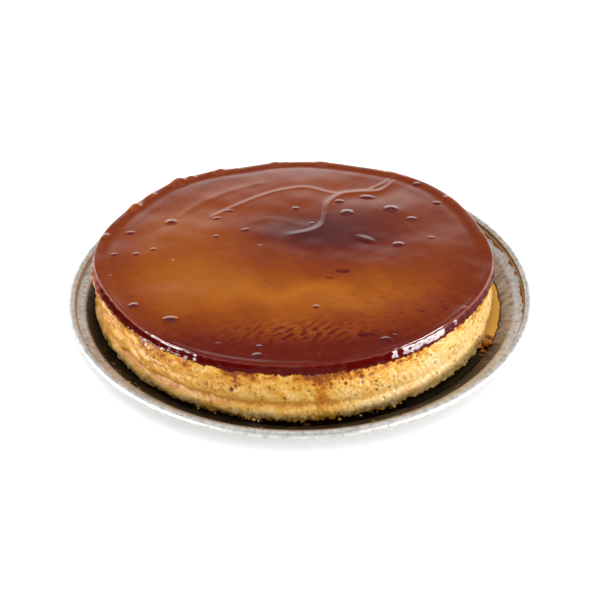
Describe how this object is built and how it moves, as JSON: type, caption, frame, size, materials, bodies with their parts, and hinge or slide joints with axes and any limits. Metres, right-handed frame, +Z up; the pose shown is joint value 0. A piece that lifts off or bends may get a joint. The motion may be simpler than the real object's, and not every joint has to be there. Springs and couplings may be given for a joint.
{
  "type": "leche flan",
  "caption": "Round caramel custard flan with a glossy caramel top, on a shallow foil plate with a rolled rim and a pool of dark syrup.",
  "frame": {"origin": "under the middle of the plate, on the surface that it stands on", "axes": "+Z up; -Y is the side that faces the viewer, +X is the viewer's right"},
  "size_m": [0.2568, 0.2568, 0.0355],
  "materials": {
    "foil": "pressed aluminium foil, half bright",
    "syrup": "thin caramel syrup, nearly black in depth, wet gloss",
    "custard": "baked egg custard, pale golden, porous and moist",
    "caramel": "soaked caramel skin, red-brown to amber, wet gloss"
  },
  "bodies": {
    "root": {"foil_plate": "foil", "syrup_pool": "syrup", "custard": "custard", "caramel_layer": "caramel"}
  },
  "joints": []
}
